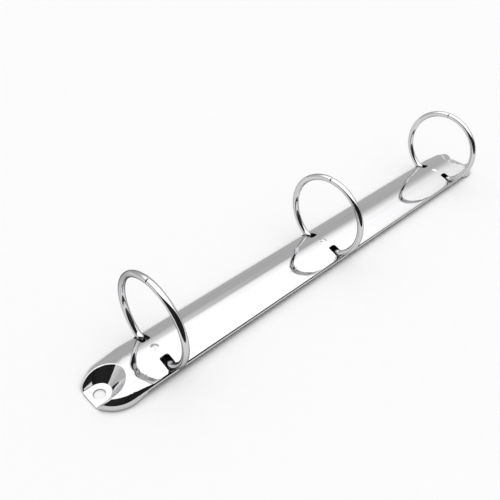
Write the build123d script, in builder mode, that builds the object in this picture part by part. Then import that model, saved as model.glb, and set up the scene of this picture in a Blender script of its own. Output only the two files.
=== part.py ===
"""Three-ring binder mechanism: an arched cover, two hinge plates under it and six half rings.

Millimetres, +Z up. The origin is the middle of the base, +X runs along the cover and the rings
stand in planes across it. The front is the -Y side.
"""

import os
from math import atan, cos, degrees, radians, sin, sqrt

from build123d import *

os.makedirs("parts", exist_ok=True)

# Cover, a stamped sheet
sheet = 0.6
end_reach = 32.0
cover_width = 26.6
cover_height = 7.1
arch_fall = 3.43
shoulder_radius = 1.3
end_shoulder_radius = 4.6
shoulder_run = 9.0
tip_width = 9.6
wall_height = 1.77
hem_radius = 1.0
lip_reach = 0.35
skirt_length = 9.0
skirt_run = 9.0

# Pocket with a flat pad and a mounting hole, pressed into each end of the cover
hole_inset = 4.5
hole_diameter = 5.2
pad_radius = 5.0
pad_edge_radius = 0.7
mouth_radius = 9.6
mouth_reach = 16.8
rim_radius = 0.5

# Pips pressed up on the crown, one at each ring
pip_diameter = 5.4
pip_height = 0.7

# Slots in the cover for the ring legs
slot_width = 4.6
slot_inner_place = 5.5
slot_outer_place = 12.85
slot_corner_radius = 1.1
slot_sill_rise = 0.9

# Rings of round wire
ring_pitch = 108.0
ring_radius = 20.65
ring_bottom_height = 1.95
wire_diameter = 3.0
tip_gap = 0.2
tip_chamfer = 0.2
leg_start_angle = 37
leg_slope = 9
leg_approach_radius = 4.0
leg_bend_radius = 1.6
tenon_diameter = 2.2
tenon_fit = 0.05
stake_diameter = 3.2
stake_height = 0.35
stake_taper = 40

# Hinge plates
plate_thickness = 0.7
plate_end_gap = 1.0
hinge_clearance = 0.1
hinge_inset = 0.75
centre_gap = 0.5
plate_floor_gap = 0.5
tab_length = 9.0
tab_reach = 1.2
tab_clearance = 0.35
tab_place_shares = (-0.25, 0.75)

# Cuts run this far past what they cut
overrun = 2.0

# Places worked out from the sizes above
ring_places = {"near": -ring_pitch, "middle": 0, "far": ring_pitch}
sides = {"front": -1, "back": 1}
cover_length = 2 * (ring_pitch + end_reach)
wire_radius = wire_diameter / 2
ring_centre_height = ring_bottom_height + ring_radius
arch_radius = (cover_width**2 / 4 + arch_fall**2) / (2 * arch_fall)
lip_height = cover_height - arch_fall - wall_height
lip_width = sheet + hinge_inset + lip_reach
slot_sill_height = lip_height + sheet + slot_sill_rise
hinge_place = cover_width / 2 - sheet - hinge_inset
hinge_height = lip_height + sheet + hinge_clearance + plate_thickness / 2
closed_tilt = degrees(atan((hinge_height - plate_thickness / 2 - plate_floor_gap) / hinge_place))
tilt_cos = cos(radians(closed_tilt))
tilt_sin = sin(radians(closed_tilt))
plate_reach = hinge_place / tilt_cos - centre_gap / 2

# Pocket walls lean out from the pad, so their level thickness is more than the sheet's
pocket_rise = cover_height
pocket_lean = (mouth_radius - pad_radius) / pocket_rise
pocket_wall = sheet * sqrt(1 + pocket_lean**2)
pad_centre = cover_length / 2 - hole_inset
mouth_centre = cover_length / 2 - mouth_reach + mouth_radius

# Each end is round in plan, cut off straight at its tip
round_centre = cover_length / 2 - sqrt(cover_width**2 - tip_width**2) / 2

# The long edges stand clear of the base between the skirts of the two ends
skirt_start = cover_length / 2 - skirt_length
lip_end = skirt_start - skirt_run
plate_length = 2 * (lip_end - plate_end_gap)

# A pip's round foot is sunk by the fall of the inner arch across it
pip_radius = pip_diameter / 2
pip_sink = arch_radius - sheet - sqrt((arch_radius - sheet) ** 2 - pip_radius**2)

# A ring leg leaves the ring's circle, levels out, bends square to its closed plate and goes through it
start_cos = cos(radians(leg_start_angle))
start_sin = sin(radians(leg_start_angle))
slope_cos = cos(radians(leg_slope))
slope_sin = sin(radians(leg_slope))
slope_place = ring_radius * start_sin - leg_approach_radius * (start_sin - slope_sin)
slope_height = ring_centre_height - ring_radius * start_cos - leg_approach_radius * (slope_cos - start_cos)
leg_place = slope_place - leg_bend_radius * (tilt_cos - slope_sin)
leg_height = slope_height - leg_bend_radius * (slope_cos + tilt_sin)
leg_hinge_reach = (hinge_place - leg_place) * tilt_cos + (hinge_height - leg_height) * tilt_sin
leg_rise = (hinge_place - leg_place) * tilt_sin + (leg_height - hinge_height) * tilt_cos
leg_straight = leg_rise - plate_thickness / 2


# One pip, its crown and its foot drawn as two arcs that flow into each other
with BuildPart() as pip:
    with BuildSketch(Plane.XZ):
        with BuildLine():
            middle = (pip_radius / 2, pip_height / 2 - pip_sink)
            foot = TangentArc((pip_radius, -pip_sink), middle, tangent=(-1, 0))
            crown = TangentArc(middle, (0, pip_height - pip_sink), tangent=foot % 1)
            Polyline(crown @ 1, (0, -sheet), (pip_radius, -sheet), foot @ 0)
        make_face()
    revolve(axis=Axis.Z)


def arched_body(inset):
    """The cover's outer form as a solid, drawn in by an inset: straight, then softer shouldered, then round."""
    half_width = cover_width / 2 - inset

    def section(place, rounding, width, align):
        """The arched cross-section at a place along the cover."""
        with BuildSketch(Plane.YZ.offset(-place)) as profile:
            Rectangle(width, cover_height, align=(align, Align.MIN))
            with Locations((0, cover_height - arch_radius)):
                Circle(arch_radius - inset, mode=Mode.INTERSECT)
            shoulders = profile.vertices().filter_by(lambda corner: abs(corner.X) > half_width / 2)
            fillet(shoulders.filter_by(lambda corner: corner.Y > 0), radius=rounding - inset)
        return profile.sketch

    middle = section(0, shoulder_radius, 2 * half_width, Align.CENTER)
    start = section(round_centre - shoulder_run, shoulder_radius, 2 * half_width, Align.CENTER)
    finish = section(round_centre, end_shoulder_radius, 2 * half_width, Align.CENTER)
    half_finish = section(round_centre, end_shoulder_radius, half_width, Align.MIN)
    with BuildPart() as body:
        extrude(middle, amount=shoulder_run - round_centre)
        loft([start, finish])
        revolve(half_finish, axis=Axis((-round_centre, 0, 0), (0, 0, 1)), revolution_arc=180)
        mirror(about=Plane.YZ)
        with BuildSketch():
            Rectangle(cover_length - 2 * inset, cover_width)
        extrude(amount=cover_height, mode=Mode.INTERSECT)
        with Locations([(place, 0, cover_height - inset) for place in ring_places.values()]):
            add(pip.part)
    return body.part


def end_pocket(floor_height, wall):
    """The near end's pocket as a solid from a floor to above the crown, open at the tip, grown by a wall."""
    run = mouth_radius + wall + overrun
    with BuildPart() as hollow:
        for height in (floor_height, sheet + pocket_rise):
            rise = (height - sheet) / pocket_rise
            centre = pad_centre + (mouth_centre - pad_centre) * rise
            radius = pad_radius + (mouth_radius - pad_radius) * rise + wall
            with BuildSketch(Plane.XY.offset(height)):
                with Locations((-centre, 0)):
                    Circle(radius)
                    Rectangle(run, 2 * radius, align=(Align.MAX, Align.CENTER))
        loft()
    return hollow.part


outer_form = arched_body(0)
inner_form = arched_body(sheet)
grown_pocket = end_pocket(0, pocket_wall)

# Pocket in the near end, with a soft corner round its pad
with BuildPart() as pocket:
    add(end_pocket(sheet, 0))
    fillet(pocket.faces().sort_by(Axis.Z)[0].edges(), radius=pad_edge_radius)

# Hollow under the cover: the inset form, less the two lips and both end pockets
with BuildPart() as hollow:
    add(inner_form)
    with BuildSketch():
        with GridLocations(0, cover_width - lip_width, 1, 2):
            Rectangle(2 * lip_end, lip_width)
    extrude(amount=lip_height + sheet, mode=Mode.SUBTRACT)
    add(grown_pocket, mode=Mode.SUBTRACT)
    mirror(grown_pocket, about=Plane.YZ, mode=Mode.SUBTRACT)

# Room under the long edges, its ends curving down to the skirts
with BuildPart() as relief:
    with BuildSketch(Plane.XZ):
        with BuildLine():
            half_way = (lip_end + skirt_run / 2, lip_height / 2)
            upper = TangentArc((lip_end, lip_height), half_way, tangent=(1, 0))
            lower = TangentArc(half_way, (skirt_start, 0), tangent=upper % 1)
            Polyline(lower @ 1, (0, 0), (0, lip_height), upper @ 0)
        make_face()
        mirror(about=Plane.YZ)
    extrude(amount=cover_width, both=True)

# Waste outside the round hem between each wall and its lip
with BuildPart() as hem_waste:
    with BuildSketch(Plane.YZ):
        with Locations((cover_width / 2, lip_height)):
            Rectangle(2 * hem_radius, 2 * hem_radius)
        with Locations((cover_width / 2 - hem_radius, lip_height + hem_radius)):
            Circle(hem_radius, mode=Mode.SUBTRACT)
        mirror(about=Plane.YZ)
    extrude(amount=lip_end, both=True)

with BuildPart() as cover:
    add(outer_form)
    add(pocket.part, mode=Mode.SUBTRACT)
    mirror(pocket.part, about=Plane.YZ, mode=Mode.SUBTRACT)
    high_edges = cover.edges().filter_by(lambda edge: edge.bounding_box().min.Z > cover_height / 2)
    rims = high_edges.filter_by(GeomType.BSPLINE).sort_by(SortBy.LENGTH)[-2:]
    fillet(rims, radius=rim_radius)
    add(relief.part, mode=Mode.SUBTRACT)
    add(hem_waste.part, mode=Mode.SUBTRACT)
    add(hollow.part, mode=Mode.SUBTRACT)
    slot_reach = slot_outer_place - slot_inner_place
    with BuildSketch(Plane.XY.offset(slot_sill_height)):
        with GridLocations(ring_pitch, slot_inner_place + slot_outer_place, len(ring_places), len(sides)):
            RectangleRounded(slot_width, slot_reach, slot_corner_radius)
    extrude(amount=cover_height, mode=Mode.SUBTRACT)
    with GridLocations(2 * pad_centre, 0, 2, 1):
        Hole(hole_diameter / 2)
cover.part.label = "cover"
export_step(cover.part, "parts/cover.step")


def hinge_plate(side):
    """One hinge plate, lying from its hinge towards the centre with its inner edge low."""
    hinge_line = Plane(
        origin=(0, side * hinge_place, hinge_height),
        x_dir=(-side, 0, 0),
        z_dir=(0, -side * tilt_sin, tilt_cos),
    )
    with BuildPart() as plate:
        with BuildSketch(hinge_line):
            Rectangle(plate_length, plate_reach, align=(Align.CENTER, Align.MIN))
            for share in tab_place_shares:
                with Locations((share * ring_pitch, plate_reach)):
                    Rectangle(tab_length, 2 * tab_reach)
                with Locations((-share * ring_pitch, plate_reach)):
                    notch_length = tab_length + 2 * tab_clearance
                    Rectangle(notch_length, 2 * (tab_reach + tab_clearance), mode=Mode.SUBTRACT)
            with Locations([(place, leg_hinge_reach) for place in ring_places.values()]):
                Circle(tenon_diameter / 2 + tenon_fit, mode=Mode.SUBTRACT)
        extrude(amount=plate_thickness / 2, both=True)
        with BuildSketch(Plane.YZ.offset(-plate_length / 2)):
            with Locations((side * hinge_place, hinge_height)):
                Circle(plate_thickness / 2)
        extrude(amount=plate_length)
    return plate.part


for name, side in sides.items():
    plate = hinge_plate(side)
    plate.label = f"hinge_plate_{name}"
    export_step(plate, f"parts/{plate.label}.step")


def half_ring(side, place):
    """Half of one ring: wire from the tip at the top, round one side, to the stake in the plate."""
    across = Plane(origin=(place, 0, 0), x_dir=(0, side, 0), z_dir=(side, 0, 0))
    tip_angle = degrees(tip_gap / 2 / ring_radius)
    with BuildPart() as half:
        with BuildLine(across) as path:
            sweep_angle = 180 - leg_start_angle - tip_angle
            circle = CenterArc((0, ring_centre_height), ring_radius, 90 - tip_angle, -sweep_angle)
            approach = JernArc(circle @ 1, circle % 1, leg_approach_radius, leg_slope - leg_start_angle)
            bend = JernArc(approach @ 1, approach % 1, leg_bend_radius, 90 + closed_tilt - leg_slope)
            Line(bend @ 1, bend @ 1 + (bend % 1) * leg_straight)
        with BuildSketch(path.line ^ 0):
            Circle(wire_radius)
        sweep(path=path.line)
        tip = half.faces().sort_by(Axis.Z)[-1]
        chamfer(tip.edges(), length=tip_chamfer)
        leg_end = Plane(path.line ^ 1)
        with BuildSketch(leg_end):
            Circle(tenon_diameter / 2)
        extrude(amount=plate_thickness)
        with BuildSketch(leg_end.offset(plate_thickness)):
            Circle(stake_diameter / 2)
        extrude(amount=stake_height, taper=stake_taper)
    return half.part


for name, side in sides.items():
    for ring_name, place in ring_places.items():
        half = half_ring(side, place)
        half.label = f"half_ring_{name}_{ring_name}"
        export_step(half, f"parts/{half.label}.step")
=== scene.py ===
"""Looks and stage for a three-ring binder mechanism: plated cover, plated rings, hinge plates."""

from math import cos, radians, sin

import bpy
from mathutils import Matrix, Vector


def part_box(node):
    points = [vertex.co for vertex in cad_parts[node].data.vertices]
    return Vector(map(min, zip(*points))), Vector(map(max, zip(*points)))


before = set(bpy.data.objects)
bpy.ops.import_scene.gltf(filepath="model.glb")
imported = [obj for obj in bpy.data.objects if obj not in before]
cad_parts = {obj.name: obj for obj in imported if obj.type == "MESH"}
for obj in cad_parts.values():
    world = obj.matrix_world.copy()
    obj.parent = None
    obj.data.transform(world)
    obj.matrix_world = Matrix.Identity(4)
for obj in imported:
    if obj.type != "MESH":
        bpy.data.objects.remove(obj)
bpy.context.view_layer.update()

bl_info = {
    "name": "Ring binder mechanism",
    "version": (1, 0, 0),
    "blender": (4, 5, 0),
    "location": "View3D > Sidebar > Ring binder",
    "description": "Finishes and stage for a three-ring binder mechanism",
    "category": "Object",
}

MM = 0.001
SIDES = ("front", "back")
RINGS = ("near", "middle", "far")

# Sockets of the Mix node, which has its own for numbers and for colours.
NUMBER_A, NUMBER_B = 2, 3
COLOUR_A, COLOUR_B, COLOUR_OUT = 6, 7, 2

# The near ring's middle: its front half reaches one outer radius forward and one up.
RING_LOW, RING_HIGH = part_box("half_ring_front_near")
RING_CENTRE = RING_HIGH[2] + RING_LOW[1]


def linear(hex_colour):
    """An sRGB hex value as linear red, green and blue."""
    shares = [int(hex_colour[i:i + 2], 16) / 255 for i in (0, 2, 4)]
    return tuple(s / 12.92 if s <= 0.04045 else ((s + 0.055) / 1.055) ** 2.4 for s in shares)


def add_node(tree, kind, links=None, **settings):
    """One node with its settings; links maps an input to the output or the value that feeds it."""
    node = tree.nodes.new(kind)
    for name, value in settings.items():
        setattr(node, name, value)
    for name, source in (links or {}).items():
        if isinstance(source, bpy.types.NodeSocket):
            tree.links.new(source, node.inputs[name])
        else:
            node.inputs[name].default_value = source
    return node


def new_material(name):
    """An empty node material."""
    material = bpy.data.materials.new(name)
    material.use_nodes = True
    material.node_tree.nodes.clear()
    return material


class PlatingLook(bpy.types.PropertyGroup):
    """Bright nickel plating of the cover and the rings."""

    colour: bpy.props.FloatVectorProperty(
        name="Colour", description="Reflected colour of the plated sheet",
        subtype="COLOR", default=linear("CCCCCD"))
    worn_colour: bpy.props.FloatVectorProperty(
        name="Worn colour", description="Reflected colour along the draw lines",
        subtype="COLOR", default=linear("BEBFC1"))
    roughness: bpy.props.FloatProperty(
        name="Roughness", description="Roughness of the bright plating",
        subtype="FACTOR", min=0, max=1, default=0.03)
    worn_roughness: bpy.props.FloatProperty(
        name="Worn roughness", description="Roughness along the draw lines",
        subtype="FACTOR", min=0, max=1, default=0.16)
    line_length: bpy.props.FloatProperty(
        name="Line length", description="Length of a draw line in the sheet",
        unit="LENGTH", default=70 * MM)
    line_spacing: bpy.props.FloatProperty(
        name="Line spacing", description="Distance between draw lines in the sheet",
        unit="LENGTH", default=0.9 * MM)
    line_start: bpy.props.FloatProperty(
        name="Line start", description="Level of the noise at which a draw line begins",
        subtype="FACTOR", default=0.55)
    line_full: bpy.props.FloatProperty(
        name="Line full", description="Level of the noise at which a draw line is full",
        subtype="FACTOR", default=0.78)
    wave_length: bpy.props.FloatProperty(
        name="Wave length", description="Distance between the sheet's shallow waves",
        unit="LENGTH", default=12 * MM)
    wave_stretch: bpy.props.FloatProperty(
        name="Wave stretch", description="How many times longer a wave is along the sheet",
        default=4)
    wave_height: bpy.props.FloatProperty(
        name="Wave height", description="Height of the sheet's shallow waves",
        unit="LENGTH", default=0.03 * MM)
    wire_colour: bpy.props.FloatVectorProperty(
        name="Wire colour", description="Reflected colour of the plated wire",
        subtype="COLOR", default=linear("D2D2D3"))
    wire_edge: bpy.props.FloatVectorProperty(
        name="Wire edge", description="Tint of the wire seen edge on",
        subtype="COLOR", default=linear("626264"))
    mark_colour: bpy.props.FloatVectorProperty(
        name="Mark colour", description="Reflected colour along the die marks",
        subtype="COLOR", default=linear("CACACC"))
    mark_roughness: bpy.props.FloatProperty(
        name="Mark roughness", description="Roughness along the die marks",
        subtype="FACTOR", min=0, max=1, default=0.08)
    mark_spacing: bpy.props.FloatProperty(
        name="Mark spacing", description="Distance between die marks on the wire",
        unit="LENGTH", default=0.35 * MM)
    mark_start: bpy.props.FloatProperty(
        name="Mark start", description="Level of the noise at which a die mark begins",
        subtype="FACTOR", default=0.5)
    mark_full: bpy.props.FloatProperty(
        name="Mark full", description="Level of the noise at which a die mark is full",
        subtype="FACTOR", default=0.8)


class StripLook(bpy.types.PropertyGroup):
    """Zinc plated strip steel of the hinge plates."""

    colour: bpy.props.FloatVectorProperty(
        name="Colour", description="Reflected colour of the strip",
        subtype="COLOR", default=linear("B9BABC"))
    dark_colour: bpy.props.FloatVectorProperty(
        name="Streak colour", description="Reflected colour of the rolling streaks",
        subtype="COLOR", default=linear("9FA1A5"))
    roughness: bpy.props.FloatProperty(
        name="Roughness", description="Roughness of the rolled strip",
        subtype="FACTOR", min=0, max=1, default=0.28)
    dull_roughness: bpy.props.FloatProperty(
        name="Streak roughness", description="Roughness of the rolling streaks",
        subtype="FACTOR", min=0, max=1, default=0.45)
    streak_length: bpy.props.FloatProperty(
        name="Streak length", description="Length of a rolling streak",
        unit="LENGTH", default=40 * MM)
    streak_width: bpy.props.FloatProperty(
        name="Streak width", description="Width of a rolling streak",
        unit="LENGTH", default=0.7 * MM)
    streak_start: bpy.props.FloatProperty(
        name="Streak start", description="Level of the noise at which a streak begins",
        subtype="FACTOR", default=0.35)
    streak_full: bpy.props.FloatProperty(
        name="Streak full", description="Level of the noise at which a streak is full",
        subtype="FACTOR", default=0.7)


class StageLook(bpy.types.PropertyGroup):
    """Camera, table top, glowing dark sheet and light tent."""

    camera_place: bpy.props.FloatVectorProperty(
        name="Camera place", description="Where the camera stands",
        subtype="TRANSLATION", unit="LENGTH", default=(-0.19876, -0.13829, 0.1893))
    camera_turn: bpy.props.FloatVectorProperty(
        name="Camera turn", description="How the camera is turned",
        subtype="EULER", unit="ROTATION",
        default=(radians(51.3657), radians(-2.2024), radians(-44.5191)))
    lens: bpy.props.FloatProperty(
        name="Lens", description="Focal length on a 36 mm sensor", default=41.887)
    board_colour: bpy.props.FloatVectorProperty(
        name="Board", description="Colour of the table top",
        subtype="COLOR", default=linear("FCFCFC"))
    mottle_colour: bpy.props.FloatVectorProperty(
        name="Board mottle", description="Colour of the board's faint mottling",
        subtype="COLOR", default=linear("FAFAFA"))
    mottle_size: bpy.props.FloatProperty(
        name="Mottle size", description="Size of a patch of the mottling",
        unit="LENGTH", default=6 * MM)
    board_size: bpy.props.FloatProperty(
        name="Board size", description="Side of the square table top",
        unit="LENGTH", default=6.0)
    # Painted shade: how far and how deep the board's colour is darkened close beneath the object.
    shade_reach: bpy.props.FloatProperty(
        name="Shade reach", description="How far from the object the board is shaded",
        unit="LENGTH", default=3 * MM)
    shade_depth: bpy.props.FloatProperty(
        name="Shade depth",
        description="Share of its colour that the board keeps where the shade is full",
        subtype="FACTOR", default=0.05)
    shade_full: bpy.props.FloatProperty(
        name="Shade full", description="Openness of the board at which the shade is full",
        subtype="FACTOR", default=0.3)
    shade_end: bpy.props.FloatProperty(
        name="Shade end", description="Openness of the board at which the shade ends",
        subtype="FACTOR", default=0.8)
    # Painted light: glow of the dark sheet that the metal mirrors, lighter on its folds.
    sheet_glow_colour: bpy.props.FloatVectorProperty(
        name="Cloth", description="Colour between the folds of the dark cloth",
        subtype="COLOR", default=linear("000000"))
    fold_glow_colour: bpy.props.FloatVectorProperty(
        name="Cloth folds", description="Colour on the folds of the dark cloth",
        subtype="COLOR", default=linear("3A3A3A"))
    fold_width: bpy.props.FloatProperty(
        name="Fold width", description="Width of a fold in the dark cloth",
        unit="LENGTH", default=40 * MM)
    fold_length: bpy.props.FloatProperty(
        name="Fold length", description="Length of a fold in the dark cloth",
        unit="LENGTH", default=160 * MM)
    cloth_place: bpy.props.FloatProperty(
        name="Cloth place", description="Distance of the dark cloth from the middle of the object",
        unit="LENGTH", default=126 * MM)
    cloth_heading: bpy.props.FloatProperty(
        name="Cloth heading", description="Direction of the dark cloth",
        unit="ROTATION", default=radians(-116))
    cloth_height: bpy.props.FloatProperty(
        name="Cloth height", description="Height of the dark cloth",
        unit="LENGTH", default=150 * MM)
    cloth_width: bpy.props.FloatProperty(
        name="Cloth width", description="Width of the dark cloth",
        unit="LENGTH", default=3.0)
    roof_light: bpy.props.FloatProperty(
        name="Roof light", description="Brightness of the tent overhead", default=1.72)
    roof_start: bpy.props.FloatProperty(
        name="Roof start", description="Height in the sky from which the roof is full",
        unit="ROTATION", default=radians(50))
    wall_light: bpy.props.FloatProperty(
        name="Wall light", description="Brightness of the tent's walls", default=0.7)
    wall_top: bpy.props.FloatProperty(
        name="Wall top", description="Height in the sky at which the walls begin to brighten",
        unit="ROTATION", default=radians(15))
    grey_light: bpy.props.FloatProperty(
        name="Grey light", description="Brightness of the grey back wall", default=0.63)
    grey_heading: bpy.props.FloatProperty(
        name="Grey heading", description="Direction of the grey back wall",
        unit="ROTATION", default=radians(68))
    grey_reach: bpy.props.FloatProperty(
        name="Grey reach", description="How far the grey back wall goes to either side",
        unit="ROTATION", default=radians(54))
    grey_top: bpy.props.FloatProperty(
        name="Grey top", description="Height of the grey back wall in the sky",
        unit="ROTATION", default=radians(36))
    grey_corner: bpy.props.FloatProperty(
        name="Grey corner", description="Power that squares the grey back wall's round corners",
        default=6)
    grey_full: bpy.props.FloatProperty(
        name="Grey full", description="Share of its size within which the back wall is full grey",
        default=0.74)
    grey_end: bpy.props.FloatProperty(
        name="Grey end", description="Share of its size at which the grey has faded out",
        default=1.1)
    plain_share: bpy.props.FloatProperty(
        name="Plain share", description="Share of the tent's brightness that lights matt surfaces",
        subtype="FACTOR", default=0.72)
    backdrop: bpy.props.FloatProperty(
        name="Backdrop", description="White that the camera sees behind the board",
        subtype="FACTOR", default=0.97)


class DressCover(bpy.types.Operator):
    """Gives the cover its bright plating"""

    bl_idname = "ring_binder.dress_cover"
    bl_label = "Cover"

    def execute(self, context):
        look = context.scene.binder_plating
        # Mild steel sheet, rolled, stamped and bright nickel plated. A mirror with shallow waves,
        # so that reflected edges run a little uneven, and faint duller draw lines along its length.
        material = new_material("nickel_plated_sheet")
        tree = material.node_tree
        where = add_node(tree, "ShaderNodeTexCoord")
        # Real draw lines are a few hundredths of a millimetre apart: drawn coarser, to show.
        drawn = add_node(tree, "ShaderNodeMapping", {
            "Vector": where.outputs["Object"],
            "Scale": (1 / look.line_length, 1 / look.line_spacing, 1 / look.line_spacing)})
        lines = add_node(tree, "ShaderNodeTexNoise", {
            "Vector": drawn.outputs[0], "Scale": 1, "Detail": 3})
        worn = add_node(tree, "ShaderNodeMapRange", {
            "Value": lines.outputs[0], "From Min": look.line_start, "From Max": look.line_full})
        colour = add_node(tree, "ShaderNodeMix", {
            "Factor": worn.outputs[0],
            COLOUR_A: (*look.colour, 1), COLOUR_B: (*look.worn_colour, 1)}, data_type="RGBA")
        roughness = add_node(tree, "ShaderNodeMapRange", {
            "Value": worn.outputs[0], "To Min": look.roughness, "To Max": look.worn_roughness})
        along = 1 / (look.wave_stretch * look.wave_length)
        rolled = add_node(tree, "ShaderNodeMapping", {
            "Vector": where.outputs["Object"],
            "Scale": (along, 1 / look.wave_length, 1 / look.wave_length)})
        waves = add_node(tree, "ShaderNodeTexNoise", {
            "Vector": rolled.outputs[0], "Scale": 1, "Detail": 1})
        bump = add_node(tree, "ShaderNodeBump", {
            "Height": waves.outputs[0], "Strength": 1, "Distance": look.wave_height})
        shader = add_node(tree, "ShaderNodeBsdfPrincipled", {
            "Base Color": colour.outputs[COLOUR_OUT], "Metallic": 1,
            "Roughness": roughness.outputs[0], "Normal": bump.outputs[0]})
        add_node(tree, "ShaderNodeOutputMaterial", {"Surface": shader.outputs[0]})
        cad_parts["cover"].material_slots[0].material = material
        return {"FINISHED"}


class DressHalfRings(bpy.types.Operator):
    """Gives the six half rings their bright plating"""

    bl_idname = "ring_binder.dress_half_rings"
    bl_label = "Half rings"

    def execute(self, context):
        look = context.scene.binder_plating
        # Round steel wire, drawn through a die, bent and bright nickel plated. A mirror that is
        # darker edge on, with faint duller die marks that follow the wire round the ring.
        material = new_material("nickel_plated_wire")
        tree = material.node_tree
        where = add_node(tree, "ShaderNodeTexCoord")
        part = add_node(tree, "ShaderNodeSeparateXYZ", {0: where.outputs["Object"]})
        above = add_node(tree, "ShaderNodeMath", {
            0: part.outputs["Z"], 1: RING_CENTRE}, operation="SUBTRACT")
        spoke = add_node(tree, "ShaderNodeCombineXYZ", {
            "Y": part.outputs["Y"], "Z": above.outputs[0]})
        reach = add_node(tree, "ShaderNodeVectorMath", {0: spoke.outputs[0]}, operation="LENGTH")
        turn = add_node(tree, "ShaderNodeMath", {
            0: above.outputs[0], 1: part.outputs["Y"]}, operation="ARCTAN2")
        # One radian round the ring counts as one spacing, so a mark runs far along the wire.
        slow = add_node(tree, "ShaderNodeMath", {
            0: turn.outputs[0], 1: look.mark_spacing}, operation="MULTIPLY")
        around = add_node(tree, "ShaderNodeCombineXYZ", {
            "X": part.outputs["X"], "Y": reach.outputs["Value"], "Z": slow.outputs[0]})
        # Real die marks are finer than the render shows: drawn coarser, to show.
        marks = add_node(tree, "ShaderNodeTexNoise", {
            "Vector": around.outputs[0], "Scale": 1 / look.mark_spacing, "Detail": 2})
        worn = add_node(tree, "ShaderNodeMapRange", {
            "Value": marks.outputs[0], "From Min": look.mark_start, "From Max": look.mark_full})
        colour = add_node(tree, "ShaderNodeMix", {
            "Factor": worn.outputs[0],
            COLOUR_A: (*look.wire_colour, 1), COLOUR_B: (*look.mark_colour, 1)}, data_type="RGBA")
        roughness = add_node(tree, "ShaderNodeMapRange", {
            "Value": worn.outputs[0], "To Min": look.roughness, "To Max": look.mark_roughness})
        shader = add_node(tree, "ShaderNodeBsdfPrincipled", {
            "Base Color": colour.outputs[COLOUR_OUT], "Metallic": 1,
            "Roughness": roughness.outputs[0], "Specular Tint": (*look.wire_edge, 1)})
        add_node(tree, "ShaderNodeOutputMaterial", {"Surface": shader.outputs[0]})
        for side in SIDES:
            for ring in RINGS:
                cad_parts[f"half_ring_{side}_{ring}"].material_slots[0].material = material
        return {"FINISHED"}


class DressHingePlates(bpy.types.Operator):
    """Gives the two hinge plates their rolled strip finish"""

    bl_idname = "ring_binder.dress_hinge_plates"
    bl_label = "Hinge plates"

    def execute(self, context):
        look = context.scene.binder_strip
        # Cold rolled steel strip, cut, pressed and zinc plated. A satin grey metal with darker,
        # duller rolling streaks along its length.
        material = new_material("zinc_plated_strip")
        tree = material.node_tree
        where = add_node(tree, "ShaderNodeTexCoord")
        rolled = add_node(tree, "ShaderNodeMapping", {
            "Vector": where.outputs["Object"],
            "Scale": (1 / look.streak_length, 1 / look.streak_width, 1 / look.streak_width)})
        streaks = add_node(tree, "ShaderNodeTexNoise", {
            "Vector": rolled.outputs[0], "Scale": 1, "Detail": 4})
        dull = add_node(tree, "ShaderNodeMapRange", {
            "Value": streaks.outputs[0],
            "From Min": look.streak_start, "From Max": look.streak_full})
        colour = add_node(tree, "ShaderNodeMix", {
            "Factor": dull.outputs[0],
            COLOUR_A: (*look.colour, 1), COLOUR_B: (*look.dark_colour, 1)}, data_type="RGBA")
        roughness = add_node(tree, "ShaderNodeMapRange", {
            "Value": dull.outputs[0], "To Min": look.roughness, "To Max": look.dull_roughness})
        shader = add_node(tree, "ShaderNodeBsdfPrincipled", {
            "Base Color": colour.outputs[COLOUR_OUT], "Metallic": 1,
            "Roughness": roughness.outputs[0]})
        add_node(tree, "ShaderNodeOutputMaterial", {"Surface": shader.outputs[0]})
        for side in SIDES:
            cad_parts[f"hinge_plate_{side}"].material_slots[0].material = material
        return {"FINISHED"}


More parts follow.
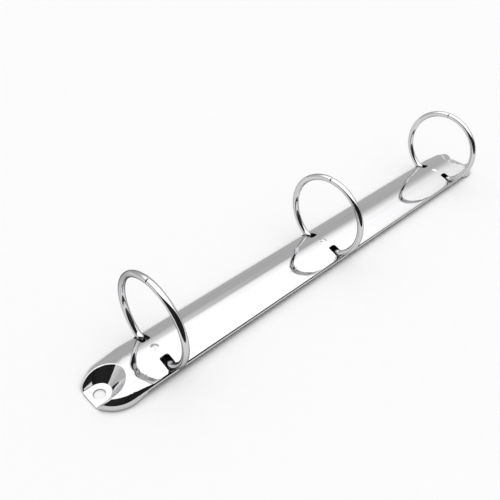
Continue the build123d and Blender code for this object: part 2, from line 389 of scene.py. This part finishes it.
class SetStage(bpy.types.Operator):
    """Sets the camera, the table top, the glowing dark sheet and the light"""

    bl_idname = "ring_binder.set_stage"
    bl_label = "Stage"

    def execute(self, context):
        look = context.scene.binder_stage
        scene = context.scene
        scene.view_settings.view_transform = "Standard"

        camera = bpy.data.cameras.new("camera")
        camera.lens = look.lens
        camera.sensor_fit = "HORIZONTAL"
        camera.clip_start = 1 * MM
        rig = bpy.data.objects.new("camera", camera)
        scene.collection.objects.link(rig)
        rig.location = look.camera_place
        rig.rotation_euler = look.camera_turn
        scene.camera = rig

        bpy.ops.object.select_all(action="DESELECT")
        bpy.ops.mesh.primitive_plane_add(size=look.board_size)
        board = context.object
        board.name = "table_top"
        # Uncoated pale board: matt, with a faint mottle.
        material = new_material("matt_pale_board")
        tree = material.node_tree
        where = add_node(tree, "ShaderNodeTexCoord")
        mottle = add_node(tree, "ShaderNodeTexNoise", {
            "Vector": where.outputs["Object"], "Scale": 1 / look.mottle_size, "Detail": 2})
        colour = add_node(tree, "ShaderNodeMix", {
            "Factor": mottle.outputs[0], COLOUR_A: (*look.board_colour, 1),
            COLOUR_B: (*look.mottle_colour, 1)}, data_type="RGBA")
        # Painted shade: the board's colour is darkened close beneath the object, where the tent's
        # open front sends little light.
        near = add_node(tree, "ShaderNodeAmbientOcclusion", {
            "Distance": look.shade_reach}, samples=8)
        shade = add_node(tree, "ShaderNodeMapRange", {
            "Value": near.outputs["AO"], "From Min": look.shade_full, "From Max": look.shade_end,
            "To Min": look.shade_depth})
        shaded = add_node(tree, "ShaderNodeVectorMath", {
            0: colour.outputs[COLOUR_OUT], "Scale": shade.outputs[0]}, operation="SCALE")
        matt = add_node(tree, "ShaderNodeBsdfDiffuse", {"Color": shaded.outputs[0]})
        add_node(tree, "ShaderNodeOutputMaterial", {"Surface": matt.outputs[0]})
        board.data.materials.append(material)

        # Painted dark reflection: a glowing black sheet across the open front of the light tent
        # stands in for the dark surroundings. Only the metal mirrors it.
        bpy.ops.object.select_all(action="DESELECT")
        bpy.ops.mesh.primitive_plane_add(
            size=1, rotation=(radians(90), 0, look.cloth_heading + radians(90)),
            location=(look.cloth_place * cos(look.cloth_heading),
                      look.cloth_place * sin(look.cloth_heading), look.cloth_height / 2))
        cloth = context.object
        cloth.name = "dark_reflection_sheet"
        cloth.scale = (look.cloth_width, look.cloth_height, 1)
        bpy.ops.object.transform_apply(location=True, rotation=True, scale=True)
        # Painted light: the sheet glows nearly black, a little lighter on its folds, as light would
        # fall on hanging black cotton.
        material = new_material("glowing_dark_sheet")
        tree = material.node_tree
        where = add_node(tree, "ShaderNodeTexCoord")
        hang = add_node(tree, "ShaderNodeMapping", {
            "Vector": where.outputs["Object"],
            "Scale": (1 / look.fold_width, 1 / look.fold_width, 1 / look.fold_length)})
        folds = add_node(tree, "ShaderNodeTexNoise", {
            "Vector": hang.outputs[0], "Scale": 1, "Detail": 1})
        colour = add_node(tree, "ShaderNodeMix", {
            "Factor": folds.outputs[0],
            COLOUR_A: (*look.sheet_glow_colour, 1), COLOUR_B: (*look.fold_glow_colour, 1)}, data_type="RGBA")
        glow = add_node(tree, "ShaderNodeEmission", {"Color": colour.outputs[COLOUR_OUT]})
        add_node(tree, "ShaderNodeOutputMaterial", {"Surface": glow.outputs[0]})
        cloth.data.materials.append(material)
        cloth.visible_camera = cloth.visible_diffuse = cloth.visible_shadow = False

        # Light tent: white and bright overhead, dimmer at the walls.
        world = bpy.data.worlds.new("light_tent")
        world.use_nodes = True
        scene.world = world
        tree = world.node_tree
        tree.nodes.clear()
        where = add_node(tree, "ShaderNodeTexCoord")
        part = add_node(tree, "ShaderNodeSeparateXYZ", {0: where.outputs["Generated"]})
        rise = add_node(tree, "ShaderNodeMath", {0: part.outputs["Z"]}, operation="ARCSINE")
        white = add_node(tree, "ShaderNodeMapRange", {
            "Value": rise.outputs[0], "From Min": look.wall_top, "From Max": look.roof_start,
            "To Min": look.wall_light, "To Max": look.roof_light}, interpolation_type="SMOOTHSTEP")

        # The grey back wall is a rectangle with round corners, in angles from its foot.
        level = add_node(tree, "ShaderNodeCombineXYZ", {
            "X": part.outputs["X"], "Y": part.outputs["Y"]})
        level = add_node(tree, "ShaderNodeVectorMath", {0: level.outputs[0]}, operation="NORMALIZE")
        heading = (cos(look.grey_heading), sin(look.grey_heading), 0)
        toward = add_node(tree, "ShaderNodeVectorMath", {
            0: level.outputs[0], 1: heading}, operation="DOT_PRODUCT")
        aside = add_node(tree, "ShaderNodeMath", {
            0: toward.outputs["Value"]}, operation="ARCCOSINE")
        across = add_node(tree, "ShaderNodeMath", {
            0: aside.outputs[0], 1: look.grey_reach}, operation="DIVIDE")
        across = add_node(tree, "ShaderNodeMath", {
            0: across.outputs[0], 1: look.grey_corner}, operation="POWER")
        high = add_node(tree, "ShaderNodeMath", {0: rise.outputs[0], 1: 0}, operation="MAXIMUM")
        up = add_node(tree, "ShaderNodeMath", {
            0: high.outputs[0], 1: look.grey_top}, operation="DIVIDE")
        up = add_node(tree, "ShaderNodeMath", {
            0: up.outputs[0], 1: look.grey_corner}, operation="POWER")
        away = add_node(tree, "ShaderNodeMath", {0: across.outputs[0], 1: up.outputs[0]})
        away = add_node(tree, "ShaderNodeMath", {
            0: away.outputs[0], 1: 1 / look.grey_corner}, operation="POWER")
        grey = add_node(tree, "ShaderNodeMapRange", {
            "Value": away.outputs[0], "From Min": look.grey_end, "From Max": look.grey_full},
            interpolation_type="SMOOTHSTEP")
        tent = add_node(tree, "ShaderNodeMix", {
            "Factor": grey.outputs[0], NUMBER_A: white.outputs[0], NUMBER_B: look.grey_light})

        # Matt surfaces are lit at a level of about 1, at which a colour renders as it is written.
        # The metal mirrors the tent itself, and the camera sees a plain white backdrop.
        plain = add_node(tree, "ShaderNodeMath", {
            0: tent.outputs[0], 1: look.plain_share}, operation="MULTIPLY")
        path = add_node(tree, "ShaderNodeLightPath")
        felt = add_node(tree, "ShaderNodeMix", {
            "Factor": path.outputs["Is Glossy Ray"],
            NUMBER_A: plain.outputs[0], NUMBER_B: tent.outputs[0]})
        shown = add_node(tree, "ShaderNodeMix", {
            "Factor": path.outputs["Is Camera Ray"],
            NUMBER_A: felt.outputs[0], NUMBER_B: look.backdrop})
        back = add_node(tree, "ShaderNodeBackground", {
            "Color": (1, 1, 1, 1), "Strength": shown.outputs[0]})
        add_node(tree, "ShaderNodeOutputWorld", {"Surface": back.outputs[0]})
        return {"FINISHED"}


class RingBinderPanel(bpy.types.Panel):
    """Lists the steps in the sidebar"""

    bl_idname = "VIEW3D_PT_ring_binder"
    bl_label = "Ring binder"
    bl_space_type = "VIEW_3D"
    bl_region_type = "UI"
    bl_category = "Ring binder"

    def draw(self, context):
        for step in STEPS:
            self.layout.operator(step.bl_idname)


LOOKS = {"binder_plating": PlatingLook, "binder_strip": StripLook, "binder_stage": StageLook}
STEPS = (DressCover, DressHalfRings, DressHingePlates, SetStage)


def register():
    """Registers the looks, the steps and the panel."""
    for name, look in LOOKS.items():
        bpy.utils.register_class(look)
        setattr(bpy.types.Scene, name, bpy.props.PointerProperty(type=look))
    for step in STEPS:
        bpy.utils.register_class(step)
    bpy.utils.register_class(RingBinderPanel)


def unregister():
    """Takes the panel, the steps and the looks out again."""
    bpy.utils.unregister_class(RingBinderPanel)
    for step in reversed(STEPS):
        bpy.utils.unregister_class(step)
    for name, look in LOOKS.items():
        delattr(bpy.types.Scene, name)
        bpy.utils.unregister_class(look)


def main():
    """Runs every step in order."""
    register()
    bpy.ops.ring_binder.dress_cover()
    bpy.ops.ring_binder.dress_half_rings()
    bpy.ops.ring_binder.dress_hinge_plates()
    bpy.ops.ring_binder.set_stage()


if __name__ == "__main__":
    main()
